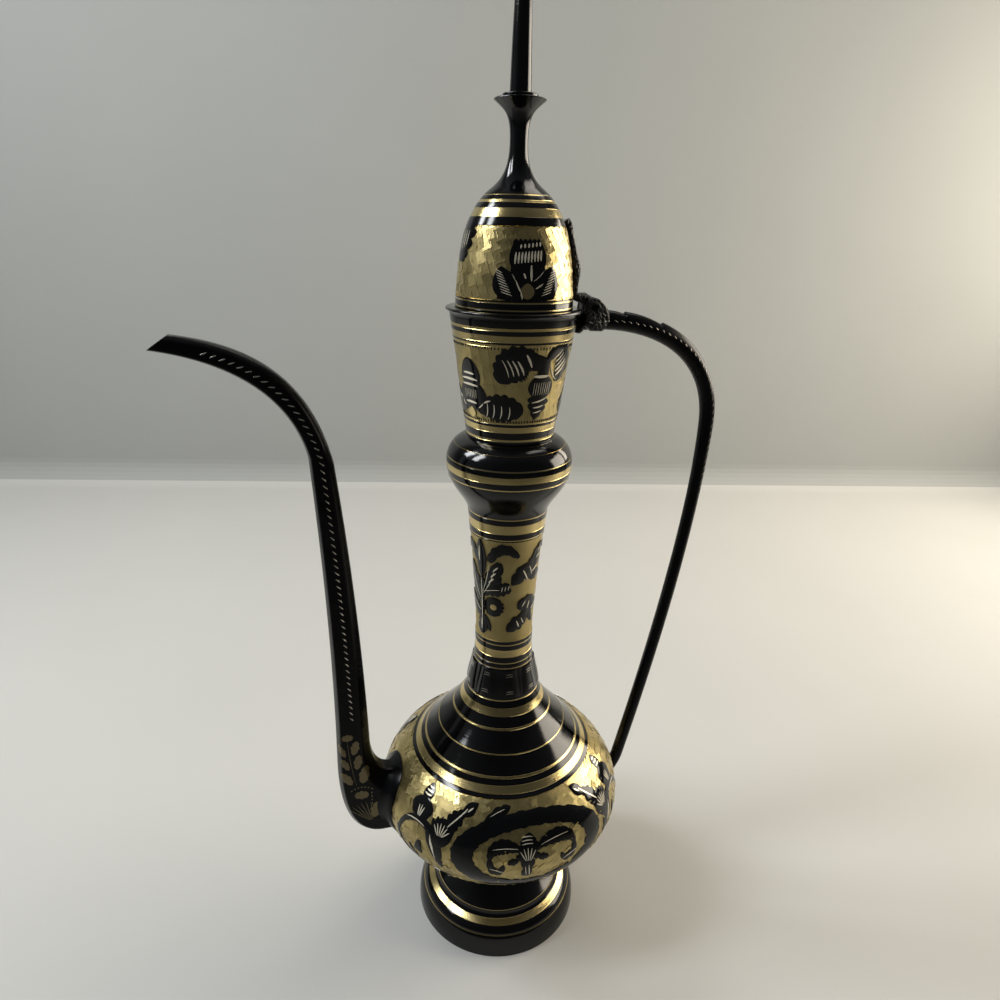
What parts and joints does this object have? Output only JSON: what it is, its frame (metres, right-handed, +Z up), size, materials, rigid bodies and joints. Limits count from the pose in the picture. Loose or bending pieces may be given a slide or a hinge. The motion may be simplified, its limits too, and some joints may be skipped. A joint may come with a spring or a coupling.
{
  "type": "brass surahi",
  "caption": "Footed long-necked brass ewer with a turnip belly, swan-neck spout, loop handle and a hinged domed lid with a tall spire finial.",
  "frame": {"origin": "centre of the foot's standing ring, on the axis of the turned body", "axes": "+Z up the axis of the turned body, +X towards the handle and the lid's hinge, the spout towards -X, +Y along the hinge pin"},
  "size_m": [0.2187, 0.112, 0.4153],
  "materials": {
    "inlaid_brass": "turned and chased brass with black enamel bands and engraved flower sprays, lacquered",
    "black_enamel": "cast brass under glossy black enamel, with fine chased dashes cut through to the metal",
    "plain_brass": "plain turned brass"
  },
  "bodies": {
    "vessel": {"foot": "inlaid_brass", "belly_bowl": "inlaid_brass", "belly_shoulder": "inlaid_brass", "neck": "inlaid_brass", "knop": "inlaid_brass", "cup": "inlaid_brass", "mouth_ring": "black_enamel", "spout_near_half": "black_enamel", "spout_far_half": "black_enamel", "spout_collar": "black_enamel", "handle": "black_enamel", "hinge_pin": "plain_brass"},
    "lid": {"lid_dome": "inlaid_brass", "lid_strap": "black_enamel", "finial_stem": "black_enamel", "finial_disc": "black_enamel", "finial_collar": "black_enamel", "finial_spire": "black_enamel", "finial_stud": "plain_brass", "finial_nut": "plain_brass"}
  },
  "joints": [
    {"name": "lid_hinge", "type": "hinge", "parent": "vessel", "child": "lid", "pos_m": [0.0306, 0, 0.29428], "axis": [0, 1, 0], "range_deg": [0, 115]}
  ]
}
